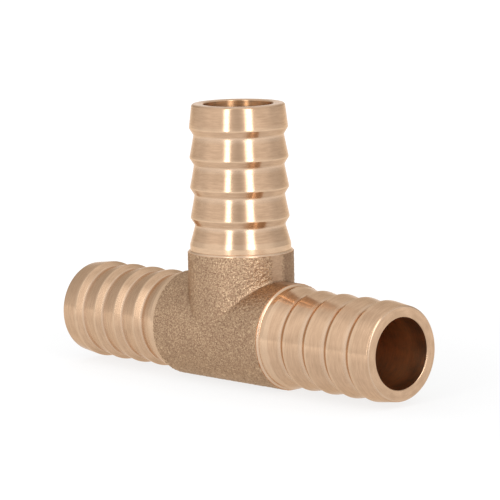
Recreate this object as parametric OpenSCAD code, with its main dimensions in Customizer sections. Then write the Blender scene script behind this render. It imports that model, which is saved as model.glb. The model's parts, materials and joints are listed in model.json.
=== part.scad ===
// Barbed tee connector for 19 mm (3/4 in) irrigation hose, in brass.
// A cast tee body carries three equal hose tails, turned from bar. Each tail's shank sits in a
// counterbored socket and its collar seats on the casting's end face. The narrow gap between
// shank and socket is the braze gap. The origin is where the axes of the run (X) and of the
// branch (+Z) cross.

/* [Hose fit] */
// Inside diameter of the hose
hose_bore = 19; // [16:0.5:24]
// The crests of the barbs stand this much over the hose bore, on the diameter
crest_grip = 1.8; // [1.2:0.1:2.6]
// The base barb stands this much over the hose bore, on the diameter
base_grip = 2.3; // [1.8:0.1:3]
// The nose stands this much over the hose bore, on the diameter
nose_grip = 0.7; // [0.4:0.1:1.2]
// The roots between barbs stand this much over the hose bore, on the diameter
root_grip = 0.1; // [0:0.05:0.3]

/* [Barbs] */
// Number of crests on a tail, apart from the base barb
crest_count = 4; // [2:1:6]
// Distance from one crest to the next
barb_pitch = 6.3; // [5:0.1:8]
// Length of the steep slope behind a crest
back_len = 1.4; // [0.8:0.1:2]
// Length of the parallel land on a crest
crest_land = 0.25; // [0.1:0.05:0.5]
// Length of the parallel land in a root
root_land = 0.35; // [0.1:0.05:0.7]
// Length of the nose, from the outermost crest to the end face
nose_len = 4.8; // [3:0.1:7]
// Length of the base barb's cone
base_cone_len = 3.85; // [2.5:0.05:6]
// Length of the parallel land between the base barb's cone and the collar
base_land = 1.1; // [0.5:0.1:2]

/* [Walls] */
// Wall of a tail at its barb roots
tail_wall = 2.15; // [1.5:0.05:3]
// Wall of a tail's shank
shank_wall = 1.8; // [1.2:0.05:2.4]

/* [Cast body] */
// Length of each run arm of the casting past the side of its branch arm
run_neck = 4.7; // [4.5:0.05:20]
// Length of the casting's branch arm past the side of its run
branch_neck = 5.55; // [4.5:0.05:20]
// The cast skin stands this much over the turned collars, on the radius
skin_height = 0.1; // [0.05:0.01:0.4]
// The flats ground along the parting line stand this much over the collars, on the radius
flat_height = 0.02; // [0:0.01:0.04]

/* [Collar and joint] */
// Width of the parallel rim of a tail's collar
collar_rim = 0.15; // [0.05:0.05:1.5]
// Chamfer on the collar's outer edge
collar_chamfer = 0.35; // [0.1:0.05:0.6]
// Step on the radius from the base barb to the collar's chamfer
collar_step = 0.05; // [0.05:0.05:0.5]
// Length of a tail's shank in its socket
shank_len = 5; // [3:0.25:6]
// Radial gap between shank and socket, which the braze fills
braze_gap = 0.05; // [0.02:0.01:0.1]
// The socket is this much deeper than its shank
socket_relief = 0.3; // [0.1:0.1:0.6]

/* [Edges] */
// Chamfer on the nose's outer edge
nose_chamfer = 0.3; // [0.1:0.05:0.6]
// Chamfer in the mouth of the waterway
mouth_chamfer = 0.15; // [0.05:0.05:0.4]
// Lead-in chamfer on the shank
shank_lead = 0.4; // [0.2:0.1:0.8]

/* [Hidden] */
$fn = 96;
overcut = 1; // cutters run this far past the faces that they open
cast_brass = [0.64, 0.51, 0.39];
turned_brass = [0.84, 0.69, 0.53];

crest_r = (hose_bore + crest_grip) / 2;
base_r = (hose_bore + base_grip) / 2;
nose_r = (hose_bore + nose_grip) / 2;
root_r = (hose_bore + root_grip) / 2;
bore_r = root_r - tail_wall;
shank_r = bore_r + shank_wall;
socket_r = shank_r + braze_gap;
socket_depth = shank_len + socket_relief;
collar_r = base_r + collar_step + collar_chamfer;
collar_w = collar_rim + collar_chamfer;
body_r = collar_r + skin_height;
flat_r = collar_r + flat_height; // from an arm's axis to its ground flats

run_seat = body_r + run_neck; // from the centre to a run tail's seat
branch_seat = body_r + branch_neck; // from the centre to the branch tail's seat

// Heights on a tail over its seat.
first_root_z = collar_w + base_land + base_cone_len;
last_crest_z = first_root_z + (crest_count - 1) * barb_pitch + root_land + back_len + crest_land;
tail_end_z = last_crest_z + nose_len;

// The four corners of the barb whose root starts at height z: root land, back slope, crest land.
// The cone runs on from the last of them to the next root.
function barb_corners(z) = [
    [root_r, z],
    [root_r, z + root_land],
    [crest_r, z + root_land + back_len],
    [crest_r, z + root_land + back_len + crest_land]
];

// Half section of a hose tail, as [radius, height over the seat].
tail_section = concat(
    // shank, below the seat
    [[bore_r, -shank_len], [shank_r - shank_lead, -shank_len]],
    [[shank_r, shank_lead - shank_len], [shank_r, 0]],
    // collar
    [[collar_r, 0], [collar_r, collar_rim], [collar_r - collar_chamfer, collar_w]],
    // base barb, whose cone runs down to the first root
    [[base_r, collar_w], [base_r, collar_w + base_land]],
    // barbs
    [for (i = [0:crest_count - 1]) each barb_corners(first_root_z + i * barb_pitch)],
    // nose
    [[nose_r, tail_end_z - nose_chamfer], [nose_r - nose_chamfer, tail_end_z]],
    // mouth of the waterway
    [[bore_r + mouth_chamfer, tail_end_z], [bore_r, tail_end_z - mouth_chamfer]]
);

// One turned hose tail, standing on its seat at z = 0 with its nose up.
module hose_tail() {
    color(turned_brass)
        rotate_extrude()
            polygon(tail_section);
}

// A solid cast arm along +Z, with the flats of the ground parting line at +X and -X.
module cast_arm(length) {
    intersection() {
        cylinder(r = body_r, h = length);
        translate([-flat_r, -body_r - overcut, -overcut])
            cube([2 * flat_r, 2 * (body_r + overcut), length + 2 * overcut]);
    }
}

// The waterway and the tail's socket in the arm along +Z that ends at height seat.
module arm_bore(seat) {
    cylinder(r = bore_r, h = seat + overcut);
    translate([0, 0, seat - socket_depth])
        cylinder(r = socket_r, h = socket_depth + overcut);
}

// Turns what is made along +Z to point along +X (side = 1) or -X (side = -1).
module along_run(side) {
    rotate([0, side * 90, 0])
        children();
}

// The casting, with its waterways bored and its sockets counterbored.
module cast_tee_body() {
    color(cast_brass)
        difference() {
            union() {
                translate([-run_seat, 0, 0])
                    along_run(1) cast_arm(2 * run_seat);
                cast_arm(branch_seat);
            }
            for (side = [-1, 1])
                along_run(side) arm_bore(run_seat);
            arm_bore(branch_seat);
        }
}

// The hose tail at the +X (side = 1) or -X (side = -1) end of the run.
module run_tail(side) {
    translate([side * run_seat, 0, 0])
        along_run(side) hose_tail();
}

// The hose tail on the branch.
module branch_tail() {
    translate([0, 0, branch_seat])
        hose_tail();
}

cast_tee_body();
run_tail(1);  // right_run_tail
run_tail(-1);  // left_run_tail
branch_tail();
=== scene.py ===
import json
import math

import bpy
from mathutils import Matrix, Vector


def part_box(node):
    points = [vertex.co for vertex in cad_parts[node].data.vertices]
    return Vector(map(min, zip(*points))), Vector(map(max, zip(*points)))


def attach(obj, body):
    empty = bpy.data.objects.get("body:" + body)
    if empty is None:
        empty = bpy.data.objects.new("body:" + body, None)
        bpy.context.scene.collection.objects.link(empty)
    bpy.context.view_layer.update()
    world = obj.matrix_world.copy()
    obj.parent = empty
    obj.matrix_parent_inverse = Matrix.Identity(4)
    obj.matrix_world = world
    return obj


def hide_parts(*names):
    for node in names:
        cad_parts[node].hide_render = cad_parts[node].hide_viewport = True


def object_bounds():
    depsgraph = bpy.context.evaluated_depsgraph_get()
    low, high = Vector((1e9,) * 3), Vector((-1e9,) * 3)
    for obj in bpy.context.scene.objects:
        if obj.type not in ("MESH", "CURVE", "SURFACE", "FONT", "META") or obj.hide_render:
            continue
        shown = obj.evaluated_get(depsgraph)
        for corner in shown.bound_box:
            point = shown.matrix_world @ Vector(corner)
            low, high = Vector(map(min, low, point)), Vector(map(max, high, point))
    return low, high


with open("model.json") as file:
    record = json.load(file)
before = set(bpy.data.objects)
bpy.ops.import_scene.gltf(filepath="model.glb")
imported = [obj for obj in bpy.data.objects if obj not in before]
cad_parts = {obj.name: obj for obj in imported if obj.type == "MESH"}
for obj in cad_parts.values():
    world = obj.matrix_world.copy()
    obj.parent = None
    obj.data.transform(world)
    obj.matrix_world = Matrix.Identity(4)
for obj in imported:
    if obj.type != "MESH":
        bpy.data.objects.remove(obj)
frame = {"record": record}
cad_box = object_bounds()


# ---- Cast tee body ---------------------------------------------------------------------------
# The middle of the fitting is a brass casting that keeps the grain of its sand mould, with two
# flats where the parting line's flash was dressed off. Its ends are faced, its waterways are
# drilled, and the mouth of each is counterbored into a socket for a hose tail.

mm = 0.001
body_low, body_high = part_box("cast_tee_body")
run_seat = body_high.x  # from the crossing of the axes to the faced end of a run arm
branch_seat = body_high.z
skin_r = body_high.y
flat_r = -body_low.z  # from an arm's axis to its dressed flats
mounts = {mount["name"]: mount for mount in frame["record"]["mounts"]}
waterway_r = mounts["run_waterway"]["dims"]["r_mm"] * mm
shank_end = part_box("branch_tail")[0].z
socket_r = 9.25 * mm
socket_relief = 0.3 * mm
socket_depth = branch_seat - shank_end + socket_relief
machining_allowance = 1 * mm  # the raw casting is this much longer at each end

voxel = 0.19 * mm  # the mesh size of the cast skin
touching = 0.001 * mm  # corners closer than this are one corner
fillet_reach = 0.9 * mm
fillet_passes = 14
mould_swell, swell_height = 5 * mm, 0.06 * mm
sand_grain, grain_height = 0.36 * mm, 0.22 * mm
flat_tolerance = 0.03 * mm
level = 0.98  # how squarely a face of a flat faces outwards, as a cosine

# The brown of oxide in the grain's pits, also used as the colour of the painted shade on the
# casting's back.
oxide_and_shade_brown = (0.185, 0.106, 0.068, 1)
skin_tan = (0.410, 0.262, 0.163, 1)
bright_grain = (0.78, 0.585, 0.375, 1)
dressed_dark = (0.42, 0.275, 0.180, 1)
dressed_tan = (0.52, 0.350, 0.228, 1)
drilled_brown = (0.21, 0.135, 0.082, 1)
drilled_and_reflected_gold = (0.70, 0.340, 0.140, 1)
grazing_tint = (0.96, 0.83, 0.70, 1)

upright = (0, 0, 0)
onto_run = (0, math.radians(90), 0)  # turns what stands up to point along +X


def start_piece():
    """Leaves edit mode with nothing selected."""
    if bpy.context.object and bpy.context.object.mode != "OBJECT":
        bpy.ops.object.mode_set(mode="OBJECT")
    bpy.ops.object.select_all(action="DESELECT")


def pick(piece):
    """Selects the piece alone and makes it active."""
    start_piece()
    bpy.context.view_layer.objects.active = piece
    piece.select_set(True)


def add_bar(radius, start, end, on_run, sides=128):
    """A round bar along Z, or along X if on_run, between two places on its axis."""
    start_piece()
    middle = (start + end) / 2
    bpy.ops.mesh.primitive_cylinder_add(
        vertices=sides, radius=radius, depth=end - start,
        rotation=onto_run if on_run else upright,
        location=(middle, 0, 0) if on_run else (0, 0, middle))
    bar = bpy.context.object
    bpy.ops.object.transform_apply(location=True, rotation=True, scale=True)
    return bar


def apply_modifier(piece, kind, **settings):
    """Adds a modifier with these settings to the piece, and applies it."""
    modifier = piece.modifiers.new(kind, kind)
    for name, value in settings.items():
        setattr(modifier, name, value)
    bpy.context.view_layer.objects.active = piece
    bpy.ops.object.modifier_apply(modifier=modifier.name)


def combine(piece, other, operation):
    """Joins a bar to the piece or cuts it out of it. A cut has the finish of the bar."""
    apply_modifier(piece, "BOOLEAN", operation=operation, object=other, solver="EXACT",
                   material_mode="TRANSFER")
    bpy.data.objects.remove(other)


def select_where(piece, test, kind="VERT"):
    """Goes into edit mode on the piece with the parts that pass the test selected."""
    pick(piece)
    bpy.ops.object.mode_set(mode="EDIT")
    bpy.ops.mesh.select_mode(type=kind)
    bpy.ops.mesh.select_all(action="DESELECT")
    bpy.ops.object.mode_set(mode="OBJECT")
    mesh = piece.data
    parts = {"VERT": mesh.vertices, "EDGE": mesh.edges, "FACE": mesh.polygons}[kind]
    for part in parts:
        part.select = test(part)
    bpy.ops.object.mode_set(mode="EDIT")


def merge_slivers(piece):
    """Merges corners that nearly touch, so that no face is left without an area."""
    select_where(piece, lambda v: True)
    bpy.ops.mesh.remove_doubles(threshold=touching)
    bpy.ops.object.mode_set(mode="OBJECT")


def smooth_shading(piece, degrees):
    """Shades the piece smooth, apart from edges sharper than this."""
    pick(piece)
    bpy.ops.object.shade_smooth_by_angle(angle=math.radians(degrees))


def finish_faces(piece, slot, test):
    """Gives the faces that pass the test the finish in this material slot."""
    select_where(piece, test, "FACE")
    piece.active_material_index = slot
    bpy.ops.object.material_slot_assign()
    bpy.ops.object.mode_set(mode="OBJECT")


def roughen(piece, name, size, height):
    """Moves the skin in and out by a cloud pattern of this size and height."""
    clouds = bpy.data.textures.new(name, "CLOUDS")
    clouds.noise_scale = size
    clouds.noise_depth = 1
    apply_modifier(piece, "DISPLACE", texture=clouds, texture_coords="LOCAL",
                   strength=height, mid_level=0.5)


def add_node(tree, kind, inputs=None, **settings):
    """Adds a node. Each of its inputs is given a value, or another node's output to read."""
    node = tree.nodes.new("ShaderNode" + kind)
    for name, value in settings.items():
        setattr(node, name, value)
    for name, value in (inputs or {}).items():
        if isinstance(value, bpy.types.NodeSocket):
            tree.links.new(value, node.inputs[name])
        else:
            node.inputs[name].default_value = value
    return node


def calculate(tree, operation, *values):
    """Works out one step of arithmetic."""
    return add_node(tree, "Math", dict(enumerate(values)), operation=operation).outputs[0]


def weigh(tree, *shares):
    """Adds up pairs of a value and its weight."""
    total = calculate(tree, "MULTIPLY", *shares[0])
    for value, weight in shares[1:]:
        total = calculate(tree, "ADD", total, calculate(tree, "MULTIPLY", value, weight))
    return total


def split(tree, vector):
    """The three parts of a vector."""
    return add_node(tree, "SeparateXYZ", {"Vector": vector}).outputs


def off_axis(tree, at):
    """The distance from the Z axis of a place, given in its three parts."""
    squares = calculate(tree, "ADD", calculate(tree, "MULTIPLY", at[0], at[0]),
                        calculate(tree, "MULTIPLY", at[1], at[1]))
    return calculate(tree, "SQRT", squares)


def spread(tree, value, low, high, to_low=0.0, to_high=1.0):
    """Maps a value from one range to another, clamped."""
    return add_node(tree, "MapRange", {"Value": value, "From Min": low, "From Max": high,
                                       "To Min": to_low, "To Max": to_high}).outputs[0]


def blend(tree, share, first, second):
    """Mixes two colours, with this share of the second."""
    mix = add_node(tree, "Mix", {0: share, 6: first, 7: second}, data_type="RGBA")
    return mix.outputs[2]


def start_group(name, inputs, outputs):
    """Starts a shader node group, whose inputs are a Vector and the named numbers.

    Returns the group, what it is given and what it makes.
    """
    group = bpy.data.node_groups.new(name, "ShaderNodeTree")
    group.interface.new_socket("Vector", in_out="INPUT", socket_type="NodeSocketVector")
    for label, value in inputs.items():
        socket = group.interface.new_socket(label, in_out="INPUT", socket_type="NodeSocketFloat")
        socket.default_value = value
    for label in outputs:
        group.interface.new_socket(label, in_out="OUTPUT", socket_type="NodeSocketFloat")
    given = group.nodes.new("NodeGroupInput").outputs
    made = group.nodes.new("NodeGroupOutput").inputs
    return group, given, made


def place_group(tree, group, inputs):
    """Places a group in a material with its own values."""
    return add_node(tree, "Group", inputs, node_tree=group).outputs


def new_brass(name):
    """Starts a bare brass material."""
    material = bpy.data.materials.new(name)
    material.use_nodes = True
    metal = material.node_tree.nodes["Principled BSDF"]
    metal.inputs["Metallic"].default_value = 1
    metal.inputs["Specular Tint"].default_value = grazing_tint
    return material, material.node_tree, metal


def finish_metal(tree, metal, colour, rough, height, depth):
    """Gives the metal its colour and roughness, and a bump of this depth from the height."""
    tree.links.new(colour, metal.inputs["Base Color"])
    tree.links.new(rough, metal.inputs["Roughness"])
    bump = add_node(tree, "Bump", {"Height": height, "Distance": depth})
    tree.links.new(bump.outputs[0], metal.inputs["Normal"])


def place_in_mm(tree, origin=(0, 0, 0), turn=upright):
    """The place on a piece, in mm from an origin, in axes turned with the piece."""
    place = add_node(tree, "TexCoord").outputs["Object"]
    return add_node(tree, "Mapping", {"Vector": place, "Location": origin, "Rotation": turn,
                                      "Scale": (mm, mm, mm)}, vector_type="TEXTURE").outputs[0]


# Sand grain: the skin takes a print of the sand, bright on its peaks and brown in its pits.
sand_print, given, made = start_group("sand_print", {"Grain": 0.4}, ("Tone", "Height"))
per_mm = calculate(sand_print, "DIVIDE", 1, given["Grain"])
clumps = add_node(sand_print, "TexNoise", {"Vector": given["Vector"], "Scale": per_mm,
                                           "Detail": 2.5, "Roughness": 0.7}).outputs[0]
grains = add_node(sand_print, "TexVoronoi", {"Vector": given["Vector"], "Scale": per_mm,
                                             "Randomness": 1})
grain_tone = split(sand_print, grains.outputs["Color"])[0]
mixed_tone = weigh(sand_print, (clumps, 1.6), (grain_tone, 0.45))
sand_print.links.new(spread(sand_print, mixed_tone, 0.62, 1.42), made["Tone"])
dome = calculate(sand_print, "SUBTRACT", 1, grains.outputs["Distance"])
sand_print.links.new(calculate(sand_print, "ADD", dome, clumps), made["Height"])

# Mottle: the broad, faint changes of tone that handling and air leave on bare brass.
mottle, given, made = start_group("mottle", {"Size": 3}, ("Tone",))
cloud = add_node(mottle, "TexNoise", {"Vector": given["Vector"], "Detail": 3, "Roughness": 0.55,
                                      "Scale": calculate(mottle, "DIVIDE", 1, given["Size"])})
mottle.links.new(spread(mottle, cloud.outputs[0], 0.3, 0.7), made["Tone"])

# Tool marks: fine rings round the Z axis, a feed apart, on walls and end faces alike.
tool_marks, given, made = start_group("tool_marks", {"Feed": 0.14, "Length": 1.2},
                                      ("Tone", "Height"))
at = split(tool_marks, given["Vector"])
outwards = calculate(tool_marks, "MULTIPLY", off_axis(tool_marks, at), 0.37)
along = calculate(tool_marks, "ADD", at[2], outwards)
rings = add_node(tool_marks, "CombineXYZ", {
    0: calculate(tool_marks, "DIVIDE", at[0], given["Length"]),
    1: calculate(tool_marks, "DIVIDE", at[1], given["Length"]),
    2: calculate(tool_marks, "DIVIDE", along, given["Feed"])}).outputs[0]
scores = add_node(tool_marks, "TexNoise", {"Vector": rings, "Scale": 1, "Detail": 1,
                                           "Roughness": 0.5}).outputs[0]
tool_marks.links.new(scores, made["Height"])
tool_marks.links.new(spread(tool_marks, scores, 0.32, 0.68), made["Tone"])


def cast_skin():
    """The skin as cast: bright on the grain's peaks and brown in its pits, with painted shade
    towards the back.
    """
    material, tree, metal = new_brass("as_cast_brass")
    place = place_in_mm(tree)
    sand = place_group(tree, sand_print, {"Vector": place, "Grain": 0.22})
    patches = place_group(tree, mottle, {"Vector": place, "Size": 4.5})["Tone"]
    peaks = spread(tree, add_node(tree, "NewGeometry").outputs["Pointiness"], 0.40, 0.60)
    tone = weigh(tree, (sand["Tone"], 0.6), (peaks, 0.4))
    colour = add_node(tree, "ValToRGB", {"Fac": tone})
    colour.color_ramp.elements[0].position = 0.12
    colour.color_ramp.elements[0].color = oxide_and_shade_brown
    colour.color_ramp.elements[1].position = 0.92
    colour.color_ramp.elements[1].color = bright_grain
    colour.color_ramp.elements.new(0.5).color = skin_tan
    # Painted shade: the skin is blended towards brown on its back half, where less light falls,
    # on top of the mottle's real tone.
    painted_shade_behind = spread(tree, split(tree, place)[1], 1.2, 2.4, 0, 0.45)
    mottle_and_painted_shade = calculate(tree, "ADD", calculate(tree, "MULTIPLY", patches, 0.22), painted_shade_behind)
    mottled_and_shaded = blend(tree, mottle_and_painted_shade, colour.outputs[0], oxide_and_shade_brown)
    finish_metal(tree, metal, mottled_and_shaded, spread(tree, tone, 0, 1, 0.47, 0.31), sand["Height"],
                 0.035 * mm)
    return material


def dressed_flats():
    """The flats on the parting line: file strokes, with the deepest grain left in them."""
    material, tree, metal = new_brass("dressed_brass")
    place = place_in_mm(tree)
    sand = place_group(tree, sand_print, {"Vector": place, "Grain": 0.3})
    strokes = place_group(tree, tool_marks, {"Vector": place, "Feed": 0.18, "Length": 0.9})
    tone = weigh(tree, (sand["Tone"], 0.4), (strokes["Tone"], 0.6))
    finish_metal(tree, metal, blend(tree, tone, dressed_dark, dressed_tan),
                 spread(tree, tone, 0, 1, 0.60, 0.42), sand["Height"], 0.008 * mm)
    return material


def lay_rings(tree, metal, turn):
    """Streaks the gloss as fine rings do round an axis, which is Z turned this way."""
    metal.inputs["Anisotropic"].default_value = 0.7
    metal.inputs["Anisotropic Rotation"].default_value = 0.25
    axis = "Z" if turn == upright else "X"
    tangent = add_node(tree, "Tangent", direction_type="RADIAL", axis=axis)
    tree.links.new(tangent.outputs["Tangent"], metal.inputs["Tangent"])


def drilled_brass(name, turn, mouth):
    """The wall of a waterway whose axis is Z turned this way: brown at its mouth, and a painted
    gold of reflected light within.
    """
    material, tree, metal = new_brass(name)
    place = place_in_mm(tree, turn=turn)
    from_centre = calculate(tree, "ABSOLUTE", split(tree, place)[2])
    # Painted reflection: deeper in the bore the colour turns a saturated gold, standing in for
    # light reflected to and fro inside it.
    painted_reflection_within = spread(tree, from_centre, mouth / mm - 2, mouth / mm - 5)
    scores = place_group(tree, tool_marks, {"Vector": place, "Feed": 0.3, "Length": 2.5})
    stain = place_group(tree, mottle, {"Vector": place, "Size": 2.5})["Tone"]
    tone = weigh(tree, (scores["Tone"], 0.2), (stain, 0.4), (painted_reflection_within, 0.5))
    rough = calculate(tree, "ADD", spread(tree, tone, 0, 1, 0.32, 0.24),
                      calculate(tree, "MULTIPLY", painted_reflection_within, 0.10))
    lay_rings(tree, metal, turn)
    finish_metal(tree, metal, blend(tree, tone, drilled_brown, drilled_and_reflected_gold), rough,
                 scores["Height"], 0.012 * mm)
    return material


drilled_run = drilled_brass("drilled_brass_run", onto_run, cad_box[1].x)
drilled_branch = drilled_brass("drilled_brass_branch", upright, cad_box[1].z)

casting = add_bar(skin_r, -run_seat - machining_allowance, run_seat + machining_allowance, True)
casting.name = "tee_casting"
combine(casting, add_bar(skin_r, 0, branch_seat + machining_allowance, False), "UNION")
apply_modifier(casting, "REMESH", mode="VOXEL", voxel_size=voxel)

# The mould's fillet: the skin is smoothed along the two slopes on which the arms meet.
select_where(casting, lambda v: v.co.z > 0 and abs(v.co.z - abs(v.co.x)) < fillet_reach)
bpy.ops.mesh.vertices_smooth(factor=0.5, repeat=fillet_passes)
bpy.ops.object.mode_set(mode="OBJECT")

# The mould swells a little, and the sand prints its grain.
roughen(casting, "mould_swell", mould_swell, swell_height)
roughen(casting, "sand_grain", sand_grain, grain_height)
casting.data.materials.clear()
for finish in (cast_skin(), dressed_flats(), drilled_run, drilled_branch):
    casting.data.materials.append(finish)

# Facing, drilling and counterboring: the ends are cut square at their seats, then the
# waterways and the sockets are bored. The skin beside the seats is made triangles first, which
# are flat and so are cut cleanly.
select_where(casting, lambda face: abs(abs(face.center.x) - run_seat) < 2 * voxel
             or abs(face.center.z - branch_seat) < 2 * voxel, "FACE")
bpy.ops.mesh.quads_convert_to_tris()
facing_r = 2 * skin_r
cut_past = 2 * machining_allowance
for radius, depth in ((facing_r, 0), (waterway_r, run_seat), (socket_r, socket_depth)):
    for side in (-1, 1):
        ends = sorted((side * (run_seat - depth), side * (run_seat + cut_past)))
        cutter = add_bar(radius, *ends, True)
        cutter.data.materials.append(drilled_run)
        combine(casting, cutter, "DIFFERENCE")
for radius, depth in ((facing_r, 0), (waterway_r, branch_seat), (socket_r, socket_depth)):
    cutter = add_bar(radius, branch_seat - depth, branch_seat + cut_past, False)
    cutter.data.materials.append(drilled_branch)
    combine(casting, cutter, "DIFFERENCE")

# Dressing: what stands past the flats is ground back to them, along the run and up the branch.
for side in (-1, 1):
    select_where(casting, lambda v: side * v.co.z > flat_r and (
        side < 0 or abs(v.co.x) > skin_r and v.co.z < skin_r + grain_height))
    bpy.ops.transform.resize(value=(1, 1, 0), center_override=(0, 0, side * flat_r))
    select_where(casting, lambda v: side * v.co.x > flat_r and v.co.z > skin_r)
    bpy.ops.transform.resize(value=(0, 1, 1), center_override=(side * flat_r, 0, 0))


def on_flat(face):
    """Whether a face lies in one of the dressed flats."""
    way, at = face.normal, face.center
    on_run = abs(way.z) > level and abs(abs(at.z) - flat_r) < flat_tolerance
    on_branch = abs(way.x) > level and abs(abs(at.x) - flat_r) < flat_tolerance
    return on_run or on_branch and at.z > skin_r


finish_faces(casting, 1, on_flat)
merge_slivers(casting)
smooth_shading(casting, 60)
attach(casting, "root")
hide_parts("cast_tee_body")


# ---- Hose tails ------------------------------------------------------------------------------
# Three equal tails, turned from brass bar: a shank that is brazed into its socket, a collar that
# seats on the casting, a base barb, four more barbs with broken edges and a tapered nose. One
# is turned here on its own axis with its seat at height 0, and copied to the three ends.

crest_r = mounts["branch_barbs"]["dims"]["r_mm"] * mm
collar_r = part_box("branch_tail")[1].x
shank_r = 9.2 * mm
root_r = 9.55 * mm
nose_r = 9.85 * mm
base_r = 10.65 * mm
collar_chamfer = 0.35 * mm
collar_w = 0.5 * mm
barb_count = 4
barb_pitch = 6.3 * mm
root_land = 0.35 * mm
back_len = 1.4 * mm
crest_land = 0.25 * mm
base_land = 1.1 * mm
base_cone = 3.85 * mm
nose_chamfer = 0.3 * mm
mouth_chamfer = 0.15 * mm
shank_lead = 0.4 * mm
shank_base = shank_end - branch_seat
tail_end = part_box("branch_tail")[1].z - branch_seat
root_radius = 0.16 * mm
broken_edge = 0.07 * mm
eased_edge = 0.05 * mm
ring_tolerance = 0.004 * mm

turned_tan = (0.485, 0.320, 0.204, 1)
turned_light = (0.640, 0.430, 0.282, 1)
rubbed_and_highlit_crest = (0.70, 0.50, 0.34, 1)
painted_light_pale = (0.66, 0.48, 0.345, 1)


def start_turning(radius, height, sides=192):
    """Starts a turned piece as a ring on the Z axis, and leaves it in edit mode, selected."""
    start_piece()
    bpy.ops.mesh.primitive_circle_add(vertices=sides, radius=radius, location=(0, 0, height))
    bpy.ops.object.transform_apply(location=True)
    bpy.ops.object.mode_set(mode="EDIT")
    bpy.ops.mesh.select_mode(type="EDGE")
    bpy.ops.mesh.select_all(action="SELECT")
    return bpy.context.object


def turn_outline(start, outline):
    """Extrudes the selected ring through a half outline of (radius, height) points."""
    radius, height = start
    for next_radius, next_height in outline:
        bpy.ops.mesh.extrude_region_move(
            TRANSFORM_OT_translate={"value": (0, 0, next_height - height)})
        scale = next_radius / radius
        bpy.ops.transform.resize(value=(scale, scale, 1), center_override=(0, 0, next_height))
        radius, height = next_radius, next_height


def round_rings(piece, rings, width, segments):
    """Rounds the edges that run round the piece at these (radius, height) corners."""
    def on_ring(edge):
        ends = [piece.data.vertices[v].co for v in edge.vertices]
        return any(all(abs(math.hypot(co.x, co.y) - radius) < ring_tolerance
                       and abs(co.z - height) < ring_tolerance for co in ends)
                   for radius, height in rings)

    select_where(piece, on_ring, "EDGE")
    bpy.ops.mesh.bevel(offset=width, segments=segments, affect="EDGES")
    bpy.ops.object.mode_set(mode="OBJECT")


shank_foot = (waterway_r, shank_base)
shank = [(shank_r - shank_lead, shank_base), (shank_r, shank_base + shank_lead), (shank_r, 0)]
collar = [(collar_r, 0), (collar_r, collar_w - collar_chamfer),
          (collar_r - collar_chamfer, collar_w), (base_r, collar_w)]
crest_rings = [(base_r, collar_w + base_land)]
root_rings = []
barbs = [(base_r, collar_w + base_land)]
for barb in range(barb_count):
    root = collar_w + base_land + base_cone + barb * barb_pitch
    crest = root + root_land + back_len
    root_rings += [(root_r, root), (root_r, root + root_land)]
    crest_rings += [(crest_r, crest), (crest_r, crest + crest_land)]
    barbs += root_rings[-2:] + crest_rings[-2:]
nose = [(nose_r, tail_end - nose_chamfer), (nose_r - nose_chamfer, tail_end)]
mouth = [(waterway_r + mouth_chamfer, tail_end), (waterway_r, tail_end - mouth_chamfer)]

tail = start_turning(*shank_foot)
turn_outline(shank_foot, shank + collar + barbs + nose + mouth + [shank_foot])
bpy.ops.mesh.select_all(action="SELECT")
bpy.ops.mesh.remove_doubles(threshold=touching)
bpy.ops.mesh.normals_make_consistent(inside=False)
bpy.ops.object.mode_set(mode="OBJECT")
round_rings(tail, root_rings, root_radius, 4)
round_rings(tail, crest_rings + nose, broken_edge, 3)
round_rings(tail, collar[1:3] + mouth, eased_edge, 2)
merge_slivers(tail)
smooth_shading(tail, 25)


def turned_brass(name, seat, turn):
    """The outside of the tail that sits at this seat, turned this way from upright."""
    material, tree, metal = new_brass(name)
    place = place_in_mm(tree, seat, turn)
    marks = place_group(tree, tool_marks, {"Vector": place, "Feed": 0.32, "Length": 2.6})
    patches = place_group(tree, mottle, {"Vector": place, "Size": 3.5})["Tone"]
    radius = off_axis(tree, split(tree, place))
    # The crests are made lighter, as rubbed brass together with a painted highlight along the
    # crest edges.
    rubbed_and_painted_highlight = spread(tree, radius, crest_r / mm - 0.1, crest_r / mm, 0, 0.5)
    # The groove roots and the collar's face get a duller finish and a paler colour; the colour is
    # painted light against the shade and orange inter-reflection that gather there.
    off_root = calculate(tree, "ABSOLUTE", calculate(tree, "SUBTRACT", radius, root_r / mm))
    dull_and_painted_light = calculate(tree, "ADD", spread(tree, off_root, 0.2, 0, 0, 0.7),
                     spread(tree, radius, base_r / mm + 0.05, collar_r / mm - 0.1, 0, 0.7))
    tone = weigh(tree, (marks["Tone"], 0.5), (patches, 0.5))
    colour = blend(tree, tone, turned_tan, turned_light)
    colour = blend(tree, rubbed_and_painted_highlight, colour, rubbed_and_highlit_crest)
    colour = blend(tree, dull_and_painted_light, colour, painted_light_pale)
    rough = calculate(tree, "ADD", spread(tree, marks["Tone"], 0, 1, 0.25, 0.18),
                      calculate(tree, "MULTIPLY", dull_and_painted_light, 0.12))
    lay_rings(tree, metal, turn)
    finish_metal(tree, metal, colour, rough, marks["Height"], 0.005 * mm)
    return material


def fit_tail(name, node, seat, turn, bore_finish):
    """Copies the tail to one end of the tee, in place of its CAD node."""
    copy = tail.copy()
    copy.data = tail.data.copy()
    copy.name = name
    bpy.context.collection.objects.link(copy)
    copy.data.materials.append(turned_brass(name + "_brass", seat, turn))
    copy.data.materials.append(bore_finish)
    finish_faces(copy, 1, lambda face: face.center.xy.length < waterway_r)
    copy.rotation_euler = turn
    copy.location = seat
    bpy.ops.object.transform_apply(location=True, rotation=True, scale=True)
    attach(copy, "root")
    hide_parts(node)


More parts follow.
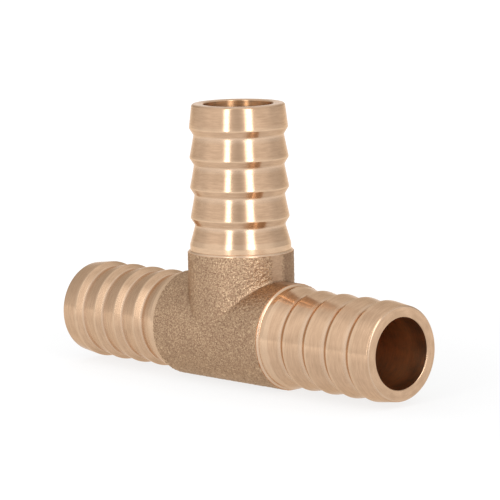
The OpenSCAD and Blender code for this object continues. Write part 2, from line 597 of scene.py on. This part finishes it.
fit_tail("right_hose_tail", "right_run_tail", (run_seat, 0, 0), onto_run, drilled_run)
fit_tail("left_hose_tail", "left_run_tail", (-run_seat, 0, 0), (0, math.radians(-90), 0),
         drilled_run)
fit_tail("branch_hose_tail", "branch_tail", (0, 0, branch_seat), upright, drilled_branch)
bpy.data.objects.remove(tail)


# ---- Studio ----------------------------------------------------------------------------------
# A white floor that glows, weaker close to the tee as painted shade and strongest in a painted
# pool of light in front of the left-hand end, and two tall strip lights either side of the camera
# in a surround of brighter and dimmer patches. The camera looks down on the crossing of the axes
# from between the front and the right-hand end.

start_piece()
bpy.ops.mesh.primitive_plane_add(size=12, location=(0, 0, cad_box[0][2]))
floor = bpy.context.object
floor.name = "floor"
paper = bpy.data.materials.new("white_paper")
paper.use_nodes = True
tree = paper.node_tree
shader = tree.nodes["Principled BSDF"]
shader.inputs["Base Color"].default_value = (0.14, 0.14, 0.14, 1)
shader.inputs["Roughness"].default_value = 0.9
shader.inputs["Emission Strength"].default_value = 1
place = add_node(tree, "TexCoord").outputs["Object"]
from_tee = add_node(tree, "VectorMath", {0: place}, operation="LENGTH").outputs["Value"]
from_pool = add_node(tree, "VectorMath", {0: place, 1: (-0.02, -0.16, 0)},
                     operation="DISTANCE").outputs["Value"]
# Painted light: the glow is weaker close to the tee, as painted shade, and stronger in a painted
# pool in front of the left-hand end.
floor_glow_with_painted_shade = spread(tree, from_tee, 0.03, 0.20, 0.76, 0.93)
painted_light_pool = spread(tree, from_pool, 0.18, 0.10, 0, 0.12)
tree.links.new(calculate(tree, "ADD", floor_glow_with_painted_shade, painted_light_pool), shader.inputs["Emission Color"])
floor.data.materials.append(paper)

daylight = (0.97, 1, 1.04)
azimuth = math.radians(46.9)
elevation = math.radians(8.17)
roll = math.radians(-1.06)
distance = 0.7375
aim_right, aim_up = 1.93 * mm, 16.6 * mm  # what the camera looks at, from the crossing
back = Vector((math.sin(azimuth) * math.cos(elevation),
               -math.cos(azimuth) * math.cos(elevation), math.sin(elevation)))
right = Vector((math.cos(azimuth), math.sin(azimuth), 0))
up = back.cross(right)
lens = bpy.data.cameras.new("camera")
lens.sensor_width = 36
lens.lens = 251.6
lens.clip_start = 0.01
camera = bpy.data.objects.new("camera", lens)
bpy.context.scene.collection.objects.link(camera)
tilted_right = right * math.cos(roll) + up * math.sin(roll)
tilted_up = up * math.cos(roll) - right * math.sin(roll)
place = right * aim_right + up * aim_up + back * distance
camera.matrix_world = Matrix((
    (tilted_right.x, tilted_up.x, back.x, place.x),
    (tilted_right.y, tilted_up.y, back.y, place.y),
    (tilted_right.z, tilted_up.z, back.z, place.z),
    (0, 0, 0, 1)))
bpy.context.scene.camera = camera


def away_from_tee(turn, lift):
    """The way from the tee that is turned and lifted by these degrees from the camera."""
    heading = azimuth + math.radians(turn)
    rise = math.radians(lift)
    return Vector((math.sin(heading) * math.cos(rise), -math.cos(heading) * math.cos(rise),
                   math.sin(rise)))


def softbox(name, turn, lift, reach, width, height, radiance):
    """A rectangular light that faces the tee and fades towards its edges."""
    light = bpy.data.lights.new(name, "AREA")
    light.color = daylight
    light.shape = "RECTANGLE"
    light.size = width
    light.size_y = height
    light.energy = radiance * math.pi * width * height
    light.use_nodes = True
    tree = light.node_tree
    across, upwards, _ = split(tree, add_node(tree, "NewGeometry").outputs["Parametric"])
    fade_up = calculate(tree, "MULTIPLY", spread(tree, upwards, 0, 0.06),
                        spread(tree, upwards, 1, 0.5))
    fade_across = calculate(tree, "MULTIPLY", spread(tree, across, 0, 0.5),
                            spread(tree, across, 1, 0.8))
    tree.links.new(calculate(tree, "MULTIPLY", fade_up, fade_across),
                   tree.nodes["Emission"].inputs["Strength"])
    box = bpy.data.objects.new(name, light)
    bpy.context.scene.collection.objects.link(box)
    away = away_from_tee(turn, lift)
    box.location = away * reach
    box.rotation_euler = away.to_track_quat("Z", "Y").to_euler()


softbox("left_strip", turn=-28.8, lift=34, reach=0.4, width=0.105, height=0.56, radiance=4.8)
softbox("right_strip", turn=23.8, lift=34, reach=1.0, width=0.37, height=1.4, radiance=5.0)

world = bpy.data.worlds.new("surround")
bpy.context.scene.world = world
world.use_nodes = True
tree = world.node_tree
looking = add_node(tree, "TexCoord").outputs["Generated"]
strength = spread(tree, split(tree, looking)[2], 0, 0.35, 0.94, 0.80)

# Each patch: its turn and lift from the camera and its half width in degrees, how much brighter
# it is, and how many times wider than tall.
patches = (
    (45, 14, 42, 0.28, 1), (-76, 34, 34, 0.36, 1), (-68, 14, 28, 0.08, 1),
    (-40, 14, 24, 0.22, 1), (180, 0, 40, 0.20, 3), (128, 8, 48, -0.16, 1),
    (-150, 10, 36, -0.22, 1), (0, 8, 13, -0.18, 1), (0, 90, 58, 0.26, 1))
for turn, lift, reach, glow, flatness in patches:
    flatten = Vector((1, 1, flatness))
    flat_look = add_node(tree, "VectorMath", {0: looking, 1: flatten},
                         operation="MULTIPLY").outputs[0]
    flat_look = add_node(tree, "VectorMath", {0: flat_look}, operation="NORMALIZE").outputs[0]
    flat_way = (away_from_tee(turn, lift) * flatten).normalized()
    towards = add_node(tree, "VectorMath", {0: flat_look, 1: flat_way},
                       operation="DOT_PRODUCT").outputs["Value"]
    lobe = spread(tree, towards, math.cos(math.radians(reach)), 1, 0, glow)
    strength = calculate(tree, "ADD", lobe, strength)
background = tree.nodes["Background"]
background.inputs["Color"].default_value = (1, 1, 1, 1)
tree.links.new(strength, background.inputs["Strength"])

bpy.context.scene.view_settings.view_transform = "Standard"
